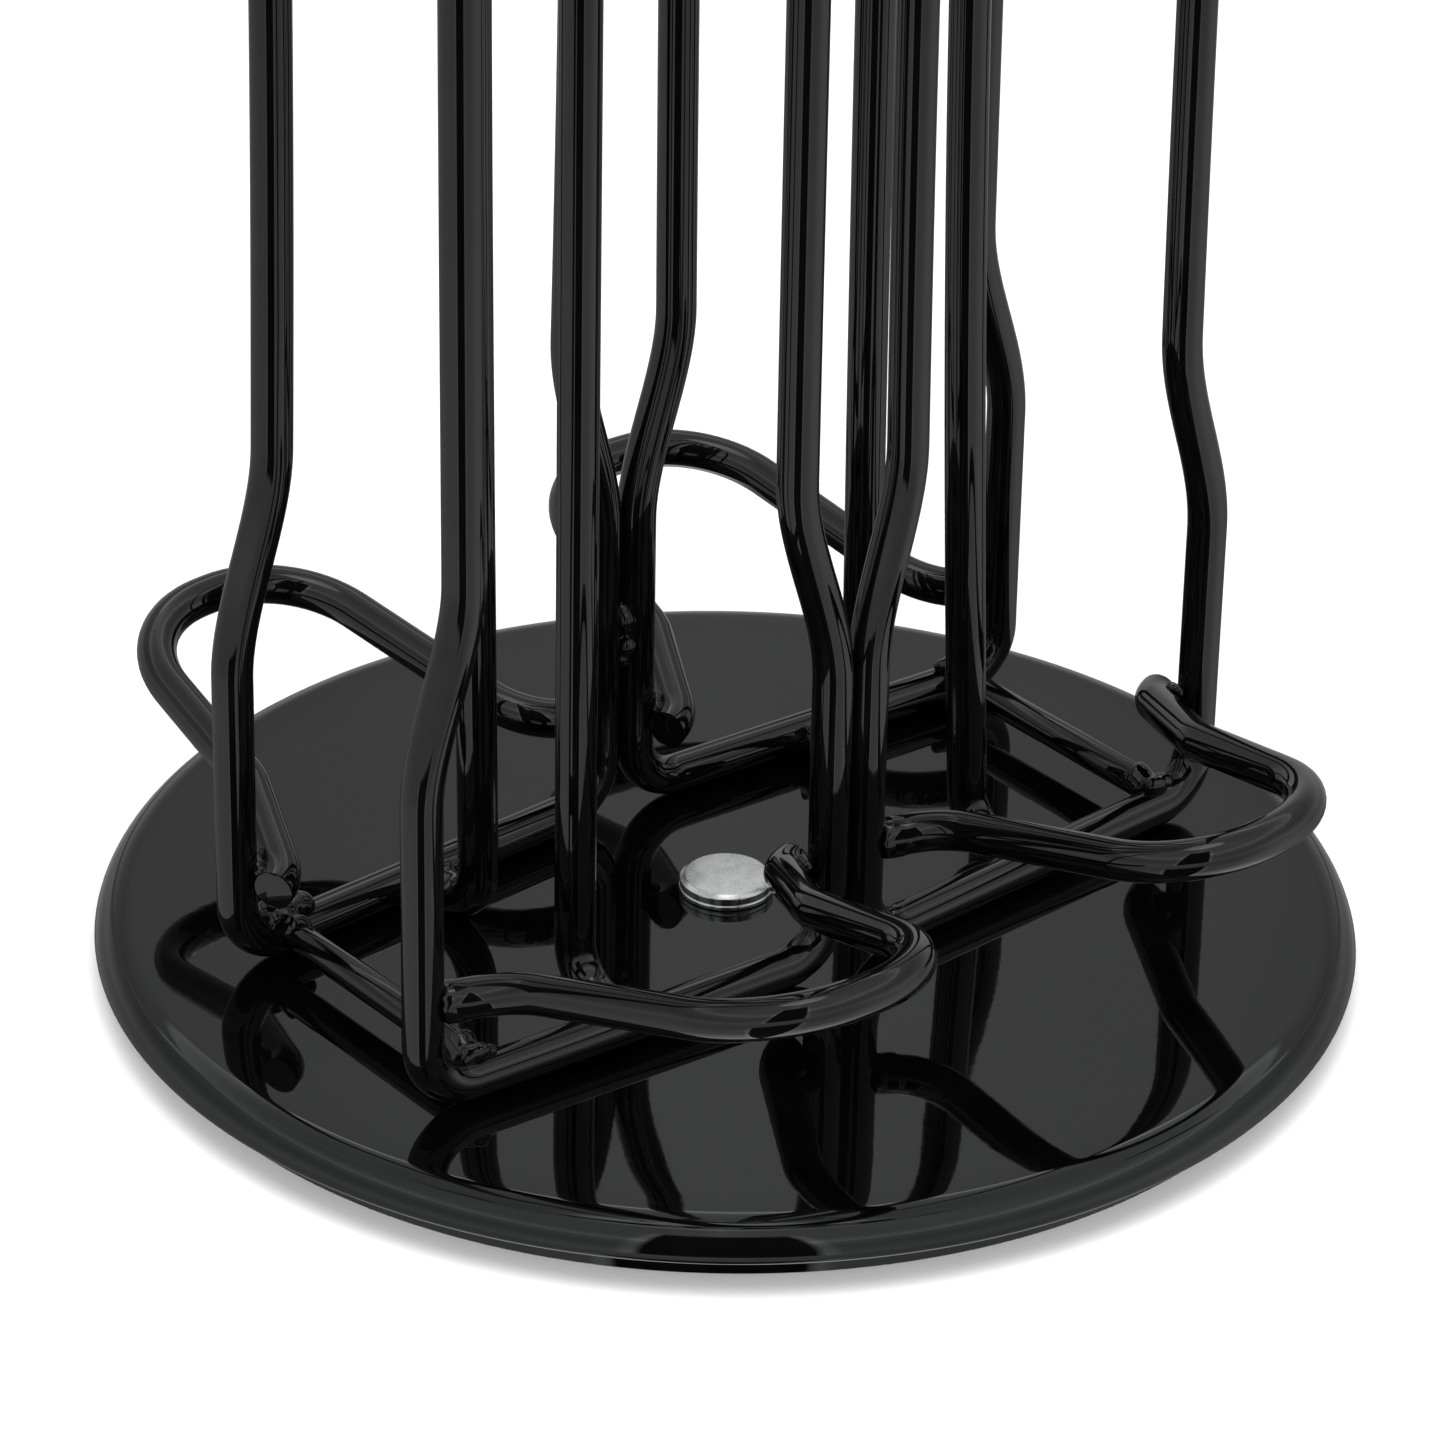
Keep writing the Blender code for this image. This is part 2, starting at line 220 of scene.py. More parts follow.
def roughness_by(nodes, links, shader, tone, low, high):
    """Lets the roughness follow a noise between two values."""
    spread = range_node(nodes, links, tone.outputs["Fac"], low, high)
    links.new(spread.outputs["Result"], shader.inputs["Roughness"])


def black_coat(name="black_powder_coat", tint=(1, 1, 1), specular=0.5):
    """Gloss powder coat: nearly black, with a faint orange peel and a few dull specks."""
    material, nodes, links, shader = new_material(name)
    shade = noise_node(nodes, links, 70)
    colour_by(nodes, links, shader, shade, (0.0006, 0.0006, 0.0006), (0.0013, 0.0013, 0.0013))
    gloss = noise_node(nodes, links, 240, 3)
    roughness_by(nodes, links, shader, gloss, 0.015, 0.04)
    peel = noise_node(nodes, links, 520, 1)
    wave = bump_node(nodes, links, peel.outputs["Fac"], 0.10, 0.00002)
    grit = noise_node(nodes, links, 4200, 2)
    fine = bump_node(nodes, links, grit.outputs["Fac"], 0.10, 0.000003, wave.outputs["Normal"])
    links.new(fine.outputs["Normal"], shader.inputs["Normal"])
    shader.inputs["IOR"].default_value = 1.46
    shader.inputs["Specular IOR Level"].default_value = specular
    shader.inputs["Specular Tint"].default_value = (*tint, 1)
    return material


def zinc_plate():
    """Bright zinc on a pressed rivet: faint turned rings and soft blotches."""
    material, nodes, links, shader = new_material("zinc_plate")
    shader.inputs["Metallic"].default_value = 1.0
    tone = noise_node(nodes, links, 420, 4, 0.6)
    colour_by(nodes, links, shader, tone, (0.56, 0.57, 0.57), (0.69, 0.70, 0.70), (0.32, 0.68))
    roughness_by(nodes, links, shader, tone, 0.20, 0.34)
    place = nodes.new("ShaderNodeTexCoord")
    rings = nodes.new("ShaderNodeTexWave")
    rings.wave_type = "RINGS"
    rings.rings_direction = "Z"
    rings.inputs["Scale"].default_value = 900
    rings.inputs["Distortion"].default_value = 1.5
    links.new(place.outputs["Object"], rings.inputs["Vector"])
    turned = bump_node(nodes, links, rings.outputs["Fac"], 0.12, 0.00002)
    pits = noise_node(nodes, links, 1500, 3)
    pitted = bump_node(nodes, links, pits.outputs["Fac"], 0.12, 0.00003, turned.outputs["Normal"])
    links.new(pitted.outputs["Normal"], shader.inputs["Normal"])
    return material


def bearing_steel():
    """Polished steel of the balls and the bush."""
    material, nodes, links, shader = new_material("bearing_steel")
    shader.inputs["Metallic"].default_value = 1.0
    tone = noise_node(nodes, links, 900, 3)
    colour_by(nodes, links, shader, tone, (0.55, 0.56, 0.58), (0.68, 0.69, 0.70))
    roughness_by(nodes, links, shader, tone, 0.08, 0.16)
    return material


def foot_rubber():
    """Dull black rubber with a fine grain."""
    material, nodes, links, shader = new_material("foot_rubber")
    tone = noise_node(nodes, links, 600, 4)
    colour_by(nodes, links, shader, tone, (0.018, 0.018, 0.018), (0.035, 0.034, 0.033))
    roughness_by(nodes, links, shader, tone, 0.7, 0.9)
    grain = noise_node(nodes, links, 2500, 2)
    bump = bump_node(nodes, links, grain.outputs["Fac"], 0.4, 0.00005)
    links.new(bump.outputs["Normal"], shader.inputs["Normal"])
    return material


def cage_plastic():
    """Cream moulded plastic."""
    material, nodes, links, shader = new_material("cage_plastic")
    tone = noise_node(nodes, links, 300, 2)
    colour_by(nodes, links, shader, tone, (0.74, 0.71, 0.64), (0.82, 0.80, 0.74))
    roughness_by(nodes, links, shader, tone, 0.42, 0.55)
    return material


PLATE_TINT = (0.94, 1.0, 0.975)
FINISHES = {                    # by slot, and the two coats that the plates have in its place
    "black_coat": black_coat(),
    "plate_coat": black_coat("plate_powder_coat", PLATE_TINT),
    # painted shade: a less specular copy of the plate coat darkens the base plate's rim, standing
    # for the shadowed floor it would reflect
    "painted_shade_coat": black_coat("base_coat_painted_shade", PLATE_TINT, 0.42),
    "zinc_plate": zinc_plate(),
    "bearing_steel": bearing_steel(),
    "foot_rubber": foot_rubber(),
    "cage_plastic": cage_plastic(),
}


# --- mesh helpers ----------------------------------------------------------------------------

def finish_piece(name, shape, slot, body, replaced=(), sharp=35, finish=None):
    """Makes a shaded object of a bmesh, on its body and in its material slot.

    Edges above the sharp angle, in degrees, stay crisp; finish overrides the slot's own look.
    """
    mesh = bpy.data.meshes.new(name)
    bmesh.ops.recalc_face_normals(shape, faces=shape.faces)
    shape.to_mesh(mesh)
    shape.free()
    mesh.materials.append(FINISHES[finish or slot])
    mesh.shade_smooth()
    mesh.set_sharp_from_angle(angle=math.radians(sharp))
    piece = bpy.data.objects.new(name, mesh)
    bpy.context.scene.collection.objects.link(piece)
    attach(piece, body)
    if replaced:
        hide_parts(*replaced)
    return piece


def add_lathe(shape, profile, steps, centre=(0, 0)):
    """Adds a closed outline of (radius, height) points, turned about an upright axis."""
    rings = []
    for radius, z in profile:
        if radius < 1e-7:
            rings.append([shape.verts.new((centre[0], centre[1], z))])
            continue
        ring = []
        for i in range(steps):
            angle = math.tau * i / steps
            ring.append(shape.verts.new((
                centre[0] + radius * math.cos(angle), centre[1] + radius * math.sin(angle), z)))
        rings.append(ring)
    count = len(rings)
    for k in range(count):
        upper, lower = rings[k], rings[(k + 1) % count]
        if len(upper) == 1 and len(lower) == 1:
            continue
        for i in range(steps):
            j = (i + 1) % steps
            if len(upper) == 1:
                shape.faces.new((upper[0], lower[i], lower[j]))
            elif len(lower) == 1:
                shape.faces.new((upper[i], lower[0], upper[j]))
            else:
                shape.faces.new((upper[i], lower[i], lower[j], upper[j]))


def arc(centre, radius, start, end, steps=BEND_STEPS):
    """Points on a circle in a plane, between two angles in degrees."""
    points = []
    for i in range(steps + 1):
        angle = math.radians(start + (end - start) * i / steps)
        points.append((centre[0] + radius * math.cos(angle), centre[1] + radius * math.sin(angle)))
    return points


def round_corners(outline):
    """Turns (x, y, corner radius) into points, with an arc in place of each corner."""
    points = [Vector(outline[0][:2])]
    for before, corner, after in zip(outline, outline[1:], outline[2:]):
        at = Vector(corner[:2])
        back = (Vector(before[:2]) - at).normalized()
        ahead = (Vector(after[:2]) - at).normalized()
        half = back.angle(ahead) / 2
        centre = at + (back + ahead).normalized() * corner[2] / math.sin(half)
        start = at + back * corner[2] / math.tan(half) - centre
        turn = start.angle_signed(at + ahead * corner[2] / math.tan(half) - centre)
        for i in range(BEND_STEPS + 1):
            angle = -turn * i / BEND_STEPS
            points.append(centre + Vector((
                start.x * math.cos(angle) - start.y * math.sin(angle),
                start.x * math.sin(angle) + start.y * math.cos(angle),
            )))
    points.append(Vector(outline[-1][:2]))
    return points


def close_rings(shape, rings):
    """Skins a row of rings and closes both ends."""
    sides = len(rings[0])
    for low, high in zip(rings, rings[1:]):
        for i in range(sides):
            j = (i + 1) % sides
            shape.faces.new((low[i], low[j], high[j], high[i]))
    shape.faces.new(reversed(rings[0]))
    shape.faces.new(rings[-1])


def cut_end(place, along, radius):
    """Place and size of the rings round a wire's cut end, from the cut along the wire."""
    rings = []
    for share in (0.0, 0.3, 1.0):
        inset = WIRE_EDGE * (1 - math.cos(share * math.pi / 2))
        grown = radius - WIRE_EDGE + WIRE_EDGE * math.sin(share * math.pi / 2)
        rings.append((place + along * inset, grown))
    return rings


def add_tube(shape, points, radius):
    """Adds a round wire along the points; its cut ends have a small rounded edge."""
    path = [p for i, p in enumerate(points) if i == 0 or (p - points[i - 1]).length > 1e-6]
    tangents = []
    for i in range(len(path)):
        before = path[max(i - 1, 0)]
        after = path[min(i + 1, len(path) - 1)]
        tangents.append((after - before).normalized())
    stations = [(place, tangents[0], size) for place, size in cut_end(path[0], tangents[0], radius)]
    stations += [(p, t, radius) for p, t in zip(path[1:-1], tangents[1:-1])]
    last = cut_end(path[-1], -tangents[-1], radius)
    stations += [(place, tangents[-1], size) for place, size in reversed(last)]
    across = tangents[0].orthogonal().normalized()
    rings = []
    previous = tangents[0]
    for place, along, size in stations:
        across = previous.rotation_difference(along) @ across
        across = (across - along * across.dot(along)).normalized()
        previous = along
        other = along.cross(across)
        rings.append([
            shape.verts.new(place + (across * math.cos(math.tau * i / WIRE_SIDES)
                                     + other * math.sin(math.tau * i / WIRE_SIDES)) * size)
            for i in range(WIRE_SIDES)])
    close_rings(shape, rings)


# --- turntable -------------------------------------------------------------------------------

def top_plate_profile():
    """A disc of sheet that sinks a little before its bent rim; the lower edge is a half circle."""
    centre = (PLATE_RADIUS - PLATE_ROUND, PLATE_TOP - PLATE_ROUND)
    middle = PLATE_ROUND - SHEET / 2
    slope = 3 * PLATE_FALL / PLATE_FALL_WIDTH
    crown = []
    for i in range(FALL_STEPS):
        share = i / FALL_STEPS
        reach = centre[0] - PLATE_FALL_WIDTH * (1 - share) + PLATE_ROUND * slope
        crown.append((reach, PLATE_TOP - PLATE_FALL * share ** 3))
    last = math.asin((PLATE_LOW.z + SHEET / 2 - centre[1]) / middle)
    sunk = (centre[0], centre[1] - PLATE_FALL)
    outer = arc(sunk, PLATE_ROUND, 90 - math.degrees(slope), 60, 20)
    outer += arc(centre, PLATE_ROUND, 58, math.degrees(last), 24)
    hem_centre = (centre[0] + middle * math.cos(last), centre[1] + middle * math.sin(last))
    hem = arc(hem_centre, SHEET / 2, math.degrees(last), math.degrees(last) - 180, 12)
    inner = arc(centre, PLATE_ROUND - SHEET, math.degrees(last), 90)
    return [(PLATE_HOLE, PLATE_TOP), *crown, *outer, *hem[1:-1], *inner,
            (PLATE_HOLE, PLATE_TOP - SHEET)]


def base_plate_profile():
    """A disc of sheet whose rim goes over a bend straight down to its lower edge."""
    top = LOWER_HIGH.z
    centre = (LOWER_RADIUS - LOWER_ROUND, top - LOWER_ROUND)
    outer = arc(centre, LOWER_ROUND, 90, 0) + [(LOWER_RADIUS, LOWER_LOW.z)]
    inner = [(LOWER_RADIUS - SHEET, LOWER_LOW.z)] + arc(centre, LOWER_ROUND - SHEET, 0, 90)
    return [(SHANK_HOLE, top)] + outer + inner + [(SHANK_HOLE, top - SHEET)]


def make_plates():
    """Both plates of the turntable; the lower one gets a duller, less glossy copy of the coat,
    painted shade standing for the shadowed floor that its rim reflects.
    """
    shape = bmesh.new()
    add_lathe(shape, top_plate_profile(), DISC_STEPS)
    finish_piece("turntable_plate", shape, "black_coat", "turntable", ["top_plate"],
                 finish="plate_coat")
    shape = bmesh.new()
    add_lathe(shape, base_plate_profile(), DISC_STEPS)
    finish_piece("base_plate", shape, "black_coat", "base", ["bottom_plate"], finish="painted_shade_coat")


def rounded_profile(corners, fillet):
    """A closed outline whose off-axis corners are rounded by a small fillet."""
    points = []
    count = len(corners)
    for k, corner in enumerate(corners):
        if corner[0] < 1e-7:
            points.append(corner)
            continue
        at = Vector(corner)
        back = Vector(corners[k - 1]) - at
        ahead = Vector(corners[(k + 1) % count]) - at
        reach = min(fillet, back.length * 0.45, ahead.length * 0.45)
        start = at + back.normalized() * reach
        end = at + ahead.normalized() * reach
        for i in range(FILLET_STEPS + 1):
            share = i / FILLET_STEPS
            point = start.lerp(at, share).lerp(at.lerp(end, share), share)
            points.append((point.x, point.y))
    return points


def make_rivet():
    """A chamfered head with a thin lip at its foot, a shank, and a tail hammered flat below."""
    low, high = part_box("centre_rivet")
    foot = PLATE_TOP + 0.00003
    tail_top = low.z + 0.0011
    face, side, lip = 0.0058, 0.0065, 0.0066
    corners = [
        (0, high.z), (face, high.z), (side, high.z - 0.00048), (side, foot + 0.0009),
        (side - 0.0001, foot + 0.00075), (lip, foot + 0.0006), (lip, foot + 0.0001),
        (lip - 0.0002, foot), (RIVET_SHANK, foot), (RIVET_SHANK, tail_top),
        (0.0048, tail_top), (0.0041, low.z), (0, low.z),
    ]
    shape = bmesh.new()
    add_lathe(shape, rounded_profile(corners, 0.00012), SMALL_STEPS)
    finish_piece("rivet_head_and_shank", shape, "zinc_plate", "base", ["centre_rivet"])


def make_sleeve(name, node, slot):
    """A ring round the rivet's shank, as tall and wide as its node."""
    low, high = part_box(node)
    corners = [(SHANK_HOLE, high.z), (high.x, high.z), (high.x, low.z), (SHANK_HOLE, low.z)]
    shape = bmesh.new()
    add_lathe(shape, rounded_profile(corners, 0.00015), SMALL_STEPS)
    finish_piece(name, shape, slot, "base", [node])


def make_feet():
    """Round rubber feet with a shallow dish underneath."""
    for number in range(1, 5):
        low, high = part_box(f"foot_{number}")
        middle = (low + high) / 2
        radius = (high.x - low.x) / 2
        dish = low.z + 0.0004
        corners = [(0, high.z), (radius, high.z), (radius, low.z),
                   (radius * 0.55, low.z), (radius * 0.45, dish), (0, dish)]
        shape = bmesh.new()
        add_lathe(shape, rounded_profile(corners, 0.0007), SMALL_STEPS, (middle.x, middle.y))
        finish_piece(f"rubber_foot_{number}", shape, "foot_rubber", "base", [f"foot_{number}"])


def make_balls():
    """The bearing's balls, each round the middle of its node."""
    for number in range(1, BALL_COUNT + 1):
        low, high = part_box(f"ball_{number}")
        shape = bmesh.new()
        bmesh.ops.create_icosphere(
            shape, subdivisions=3, radius=(high.z - low.z) / 2,
            matrix=Matrix.Translation((low + high) / 2))
        finish_piece(f"bearing_ball_{number}", shape, "bearing_steel", "bearing",
                     [f"ball_{number}"], 80)


def in_pocket(step):
    """Whether a step round the cage lies in the slot that holds a ball."""
    pitch = CAGE_STEPS // BALL_COUNT
    return min(step % pitch, pitch - 1 - step % pitch) < 1


def make_cage():
    """A flat ring with a slot for each ball, a little wider beside the slots than between them."""
    low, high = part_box("ball_cage")
    outer, inner = high.x, high.x - CAGE_WIDTH
    middle = (outer + inner) / 2
    lobe_height, edge_width, edge_drop, slot_reach = 0.0006, 0.0009, 0.0004, 0.0021
    shape = bmesh.new()
    tops, bottoms = [], []
    for i in range(CAGE_STEPS):
        angle = math.tau * i / CAGE_STEPS
        lobe = lobe_height * math.cos(BALL_COUNT * angle)
        way = Vector((math.cos(angle), math.sin(angle), 0))
        # Points across the ring: lowered inner edge, its top, both sides of a slot, top, outer edge
        radii = [inner - lobe * 0.5 + lobe_height, inner + edge_width,
                 middle - slot_reach, middle + slot_reach,
                 outer - edge_width, outer + lobe * 0.5 - lobe_height]
        heights = [-edge_drop, 0, 0, 0, 0, -edge_drop]
        tops.append([shape.verts.new(way * r + Vector((0, 0, high.z + h)))
                     for r, h in zip(radii, heights)])
        bottoms.append([shape.verts.new(way * r + Vector((0, 0, low.z - h)))
                        for r, h in zip(radii, heights)])
    for i in range(CAGE_STEPS):
        j = (i + 1) % CAGE_STEPS
        pocket = in_pocket(i)
        for k in range(5):
            if pocket and k == 2:
                continue
            shape.faces.new((tops[i][k], tops[i][k + 1], tops[j][k + 1], tops[j][k]))
            shape.faces.new((bottoms[i][k], bottoms[j][k], bottoms[j][k + 1], bottoms[i][k + 1]))
        for k in (0, 5):
            shape.faces.new((tops[i][k], tops[j][k], bottoms[j][k], bottoms[i][k]))
        if pocket:
            for k in (2, 3):
                shape.faces.new((tops[i][k], tops[j][k], bottoms[j][k], bottoms[i][k]))
        if pocket != in_pocket(j):
            shape.faces.new((tops[j][2], tops[j][3], bottoms[j][3], bottoms[j][2]))
    finish_piece("bearing_cage", shape, "cage_plastic", "bearing", ["ball_cage"])


# --- rack ------------------------------------------------------------------------------------

def ease(share):
    """A smooth step from 0 to 1."""
    return share * share * (3 - 2 * share)


def leg_points():
    """One leg of a lane, from the bottom bend up: (distance from the lane's middle, height)."""
    low = PLATE_TOP + EXIT_HEIGHT
    high = LEG_TOP + GAP / 2 - LOADING_HEIGHT - KINK_HEIGHT
    straight = high - low - KINK_HEIGHT
    points = [(WIDE, low - 0.004)]
    for i in range(LEG_STEPS + 1):
        points.append((WIDE - KINK_STEP * ease(i / LEG_STEPS), low + KINK_HEIGHT * i / LEG_STEPS))
    for i in range(1, LEG_STEPS):
        points.append((LANE_HALF_WIDTH, low + KINK_HEIGHT + straight * i / LEG_STEPS))
    for i in range(LEG_STEPS + 1):
        points.append((LANE_HALF_WIDTH + KINK_STEP * ease(i / LEG_STEPS),
                       high + KINK_HEIGHT * i / LEG_STEPS))
    points.append((WIDE, LEG_TOP))
    return points


def lane_places():
    """Name of each lane and the matrix that puts it in place; unturned, a lane faces -Y."""
    for side_y, face in ((-1, "front"), (1, "back")):
        for side_x, hand in ((-1, "left"), (1, "right")):
            name = f"{face}_{hand}"
            turn = (0 if side_y < 0 else math.pi) - side_x * side_y * LANE_TURN
            middle = Vector((side_x * LANE_CENTRE_X, side_y * LANE_FRONT_Y, 0))
            offset = Matrix.Translation((LANE_SET[name][0], 0, 0))
            yield name, Matrix.Translation(middle) @ Matrix.Rotation(turn, 4, "Z") @ offset


def lane_frame_points(name):
    """The U of one lane: its legs bow to one side between the exit and the loading mouth."""
    bend = arc((WIDE - BOTTOM_BEND, RUN_Z + BOTTOM_BEND), BOTTOM_BEND, -90, 0)
    outline = bend + leg_points()
    low, high = PLATE_TOP + EXIT_HEIGHT, LEG_TOP + GAP / 2 - LOADING_HEIGHT
    points = []
    for side, leg in ((-1, reversed(outline)), (1, outline)):
        for x, z in leg:
            share = min(max((z - low) / (high - low), 0), 1)
            points.append(Vector((side * x + LANE_SET[name][1] * math.sin(math.pi * share), 0, z)))
    return points


def exit_loop_points(name):
    """The stirrup in front of one lane, which leans sideways and rises on its way out."""
    outline = round_corners(LOOP_OUTLINE)
    lean, rise, height = LOOP_SET[name]
    level = PLATE_TOP + height
    start = outline[0].y
    return [Vector((x + lean * max(out - start, 0), -out, level + rise * out))
            for x, out in outline]


def arch_over(half_span, foot_z, top_z, bend):
    """An inverted U in the YZ plane, from the foot at -Y over to the foot at +Y."""
    right = arc((half_span - bend, top_z - bend), bend, 90, 0) + [(half_span, foot_z)]
    return [Vector((0, -y, z)) for y, z in reversed(right)] + [Vector((0, y, z)) for y, z in right]


def top_arches():
    """Name and points of each arch, which carries a front leg over to the back leg behind it."""
    tops = {
        (name, side): place @ Vector((side * WIDE, 0, 0))
        for name, place in lane_places() for side in (-1, 1)
    }
    for side_x, hand in ((-1, "left"), (1, "right")):
        for side, where in ((1, "outer"), (-1, "inner")):
            front = tops["front_" + hand, side_x * side]
            back = tops["back_" + hand, -side_x * side]
            across = (back - front) / 2
            points = arch_over(across.length, LEG_TOP + GAP, RACK_TOP - WIRE_RADIUS, TOP_BEND)
            turn = Matrix.Rotation(math.atan2(-across.x, across.y), 4, "Z")
            yield f"{hand}_{where}", [(front + back) / 2 + turn @ p for p in points]


def sway(hand, y, share):
    """How far an inner wire stands off the lane's middle, at a share of its height."""
    across = min(max((y / INNER_Y + 1) / 2, 0), 1)
    front, back = INNER_SET[hand]["front"], INNER_SET[hand]["back"]
    offset = front[0] + (back[0] - front[0]) * across
    bow = front[1] + (back[1] - front[1]) * across
    return offset + bow * math.sin(math.pi * share)


def inner_frames():
    """Hand and points of each inner frame: up behind the front lane, over, down to the back one."""
    top_z = RACK_TOP - 5 * WIRE_RADIUS - 2 * GAP
    foot_end = LANE_FRONT_Y - WIRE_RADIUS - GAP
    foot = arc((INNER_Y + INNER_FOOT_BEND, RUN_Z + INNER_FOOT_BEND), INNER_FOOT_BEND, 180, 270)
    over = arc((0, top_z - INNER_Y), INNER_Y, 90, 0)
    low, high = foot[0][1], over[-1][1]
    upright = [(INNER_Y, high + (low - high) * i / UPRIGHT_STEPS)
               for i in range(1, UPRIGHT_STEPS)]
    back = over + upright + foot + [(foot_end, RUN_Z)]
    front = [(-y, z) for y, z in reversed(back)]
    for side_x, hand in ((-1, "left"), (1, "right")):
        yield hand, [Vector((side_x * LANE_CENTRE_X + sway(hand, y, z / top_z), y, z))
                     for y, z in front[:-1] + back]


def rack_wires():
    """Points of every wire's axis, by the name of its CAD node."""
    wires = {}
    for name, place in lane_places():
        wires["lane_frame_" + name] = [place @ p for p in lane_frame_points(name)]
        wires["exit_loop_" + name] = [place @ p for p in exit_loop_points(name)]
    for name, points in top_arches():
        wires["top_arch_" + name] = points
    for name, points in inner_frames():
        wires["inner_frame_" + name] = points
    for hand in ("left", "right"):
        low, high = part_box("base_cross_wire_" + hand)
        middle = (low + high) / 2
        wires["base_cross_wire_" + hand] = [
            Vector((middle.x, low.y, middle.z)), Vector((middle.x, high.y, middle.z))]
    middle = (TIE_LOW + TIE_HIGH) / 2
    wires["top_tie_wire"] = [Vector((TIE_LOW.x, 0, middle.z)), Vector((TIE_HIGH.x, 0, middle.z))]
    return wires


def make_wires(wires):
    """One piece for each wire, in place of its node."""
    for node, points in wires.items():
        shape = bmesh.new()
        add_tube(shape, points, CROSS_RADIUS if "cross_wire" in node else WIRE_RADIUS)
        finish_piece("coated_" + node, shape, "black_coat", "turntable", [node])


# --- welds -----------------------------------------------------------------------------------

LUMP = {                        # size of the lumps of weld metal at each kind of joint
    "loop_start": 0.0008,
    "loop_end": 0.0012,
    "inner_foot": 0.0009,
    "inner_crown": 0.0011,
    "cross_end": 0.0008,
    "tack": 0.0015,
    "tie": 0.0010,
}
# Bead over a cross wire's end: half its length, size and number of its lumps
CROSS_BEAD = (0.0014, 0.0014, 4)
HEAVY_BEAD = (0.0036, 0.0020, 9)
HEAVY_LANE = "back_left"        # the one joint where the bead is laid on thickly
TACK_HEIGHTS = (0.0355, 0.0412)
COLLAR_SINK = 0.0003            # how deep a collar's ends dip into the wire
CORNER_LUMPS = 9                # round a wire's end
GROOVE_LUMPS = 4                # in a groove beside a crossing
GROOVE_OFFSET = 0.0016          # from the line between two wires to the middle of such a bead
BEAD_REACH = 0.0012             # half the length of a short bead


def fine_path(points, step=0.0004):
    """Places and directions along a wire, a short step apart."""
    path = []
    for start, end in zip(points, points[1:]):
        along = end - start
        count = max(1, math.ceil(along.length / step))
        path += [(start.lerp(end, i / count), along.normalized()) for i in range(count)]
    path.append((points[-1], path[-1][1]))
    return path


def meeting(first, second):
    """Where two wires come nearest: place and direction on each."""
    path, other = fine_path(first), fine_path(second)
    tree = kdtree.KDTree(len(other))
    for i, (place, along) in enumerate(other):
        tree.insert(place, i)
    tree.balance()
    found = [tree.find(place) for place, along in path]
    best = min(range(len(path)), key=lambda i: found[i][2])
    return path[best], other[found[best][1]]


def nearest(place, wire):
    """The point of a wire nearest to a place, and the wire's direction there."""
    return meeting([place, place], wire)[1]


def add_lump(shape, chance, place, size):
    """An irregular drop of weld metal, turned any way round."""
    turn = Vector([chance.uniform(-1, 1) for _ in range(3)]).normalized()
    spans = ((0.9, 1.3), (0.8, 1.1), (0.65, 1.0))
    stretch = [size * chance.uniform(low, high) for low, high in spans]
    matrix = (Matrix.Translation(place) @ Matrix.Rotation(chance.uniform(0, math.tau), 4, turn)
              @ Matrix.Diagonal((*stretch, 1)))
    bmesh.ops.create_icosphere(shape, subdivisions=2, radius=1, matrix=matrix)


def add_bead(shape, chance, start, end, size, count):
    """Overlapping lumps of weld metal in a row."""
    for i in range(count):
        stray = Vector([chance.uniform(-0.3, 0.3) * size for _ in range(3)])
        add_lump(shape, chance, start.lerp(end, i / max(count - 1, 1)) + stray, size)


def add_collar(shape, middle, along, radius, reach, swell, flare=0.0):
    """A sleeve of weld metal round a wire, sunk into it at both ends; flare widens its far end."""
    across = along.orthogonal().normalized()
    other = along.cross(across)
    rings = []
    for k in range(COLLAR_STEPS + 1):
        share = 2 * k / COLLAR_STEPS - 1
        ring = []
        for i in range(COLLAR_SIDES):
            angle = math.tau * i / COLLAR_SIDES
            way = across * math.cos(angle) + other * math.sin(angle)
            rough = 1 + 0.9 * noise.noise(middle * 900 + way * 1.7 + along * share * 2.2)
            size = (radius + swell * rough * (1 - share ** 4) + flare * max(share, 0) ** 2
                    - COLLAR_SINK * share ** 4)
            ring.append(shape.verts.new(middle + along * share * reach + way * size))
        rings.append(ring)
    close_rings(shape, rings)


def fuse_weld(name, shape):
    """Joins overlapping lumps into one skin of weld metal and softens it."""
    piece = finish_piece(name, shape, "black_coat", "turntable", sharp=180)
    fuse = piece.modifiers.new("fuse", "REMESH")
    fuse.mode = "VOXEL"
    fuse.voxel_size = WELD_VOXEL
    soften = piece.modifiers.new("soften", "SMOOTH")
    soften.factor = 0.5
    soften.iterations = 30
    bpy.context.view_layer.update()
    evaluated = piece.evaluated_get(bpy.context.evaluated_depsgraph_get())
    old = piece.data
    piece.data = bpy.data.meshes.new_from_object(evaluated)
    piece.modifiers.clear()
    bpy.data.meshes.remove(old)
    piece.data.shade_smooth()


def weld_end(shape, chance, end, other, radius, size):
    """A ring of weld metal where a wire's end meets the side of another wire."""
    place, along = end
    towards = other[0] - place
    towards = (towards - other[1] * towards.dot(other[1])).normalized()
    across = along.orthogonal().normalized()
    side = along.cross(across)
    back, forward, inward = 0.0008, 0.0006, 0.0004
    add_collar(shape, place - towards * back, towards, radius - 0.0001,
               reach=0.0020, swell=0.00018, flare=0.0002)
    for i in range(CORNER_LUMPS):
        angle = math.tau * i / CORNER_LUMPS + chance.uniform(-0.2, 0.2)
        way = across * math.cos(angle) + side * math.sin(angle)
        add_lump(shape, chance, place + towards * forward + way * (radius - inward),
                 size * chance.uniform(0.7, 1.0))


